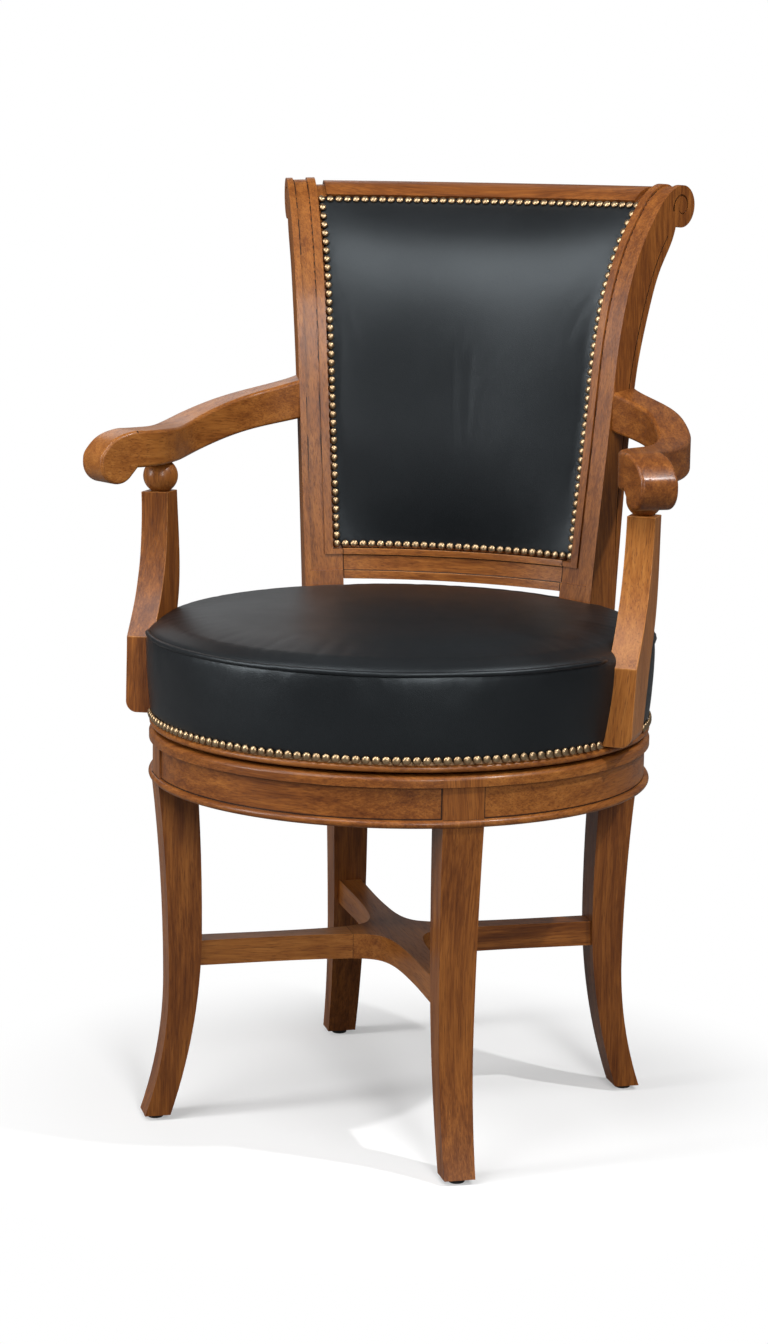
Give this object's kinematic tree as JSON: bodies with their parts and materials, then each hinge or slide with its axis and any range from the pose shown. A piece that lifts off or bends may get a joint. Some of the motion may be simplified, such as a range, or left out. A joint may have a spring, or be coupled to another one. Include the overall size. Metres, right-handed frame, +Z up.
{
  "type": "swivel dining armchair",
  "caption": "Swivel armchair with a round leather seat on a ring apron and sabre legs, a scrolled curved leather back with nailheads, and curved open arms on shaped posts with balls.",
  "frame": {"origin": "on the floor, on the seat's swivel axis", "axes": "+Z up along the swivel axis; the seat's front faces -Y at rest; +X is to the right when looking at the front"},
  "size_m": [0.628, 0.631, 0.9816],
  "materials": {
    "wood": "satin lacquer, warm mid-brown",
    "board": "raw plywood",
    "dowel_wood": "raw beech",
    "leather": "smooth, soft sheen",
    "nail_brass": "antiqued",
    "steel": "zinc plated",
    "foam": "upholstery foam",
    "glide": "moulded"
  },
  "bodies": {
    "base": {"leg_front_right": "wood", "leg_rear_right": "wood", "leg_rear_left": "wood", "leg_front_left": "wood", "apron_rail_right": "wood", "apron_rail_rear": "wood", "apron_rail_left": "wood", "apron_rail_front": "wood", "apron_dowels": "dowel_wood", "deck_board": "board", "deck_screws": "steel", "foot_glides": "glide", "stretcher_long": "wood", "stretcher_arm_left": "wood", "stretcher_arm_right": "wood", "stretcher_dowels": "dowel_wood", "swivel_lower_plate": "steel", "swivel_lower_screws": "steel", "pivot_rivet": "steel"},
    "ball_cage": {"ball_cage": "steel", "swivel_balls": "steel"},
    "seat": {"seat_moulding": "wood", "back_post_right": "wood", "back_post_left": "wood", "crest_rail": "wood", "bottom_rail": "wood", "arm_right": "wood", "arm_left": "wood", "arm_ball_right": "wood", "arm_ball_left": "wood", "arm_post_right": "wood", "arm_post_left": "wood", "seat_board": "board", "seat_hoop": "board", "back_board": "board", "outside_back_board": "board", "back_dowels": "dowel_wood", "arm_dowels": "dowel_wood", "seat_cover": "leather", "seat_welt": "leather", "back_cover": "leather", "outside_back_cover": "leather", "seat_nails": "nail_brass", "back_nails": "nail_brass", "outside_back_nails": "nail_brass", "swivel_upper_plate": "steel", "swivel_upper_screws": "steel", "hoop_screws": "steel", "back_post_bolts": "steel", "arm_post_bolts": "steel", "arm_screws": "steel", "seat_foam": "foam", "back_foam": "foam"}
  },
  "joints": [
    {"name": "seat_swivel", "type": "hinge", "parent": "base", "child": "seat", "pos_m": [0, 0, 0.41525], "axis": [0, 0, 1], "continuous": true},
    {"name": "cage_turn", "type": "hinge", "parent": "base", "child": "ball_cage", "pos_m": [0, 0, 0.41525], "axis": [0, 0, 1], "continuous": true}
  ],
  "couplings": [
    {"joint": "cage_turn", "follows": "seat_swivel", "ratio": 0.5}
  ]
}
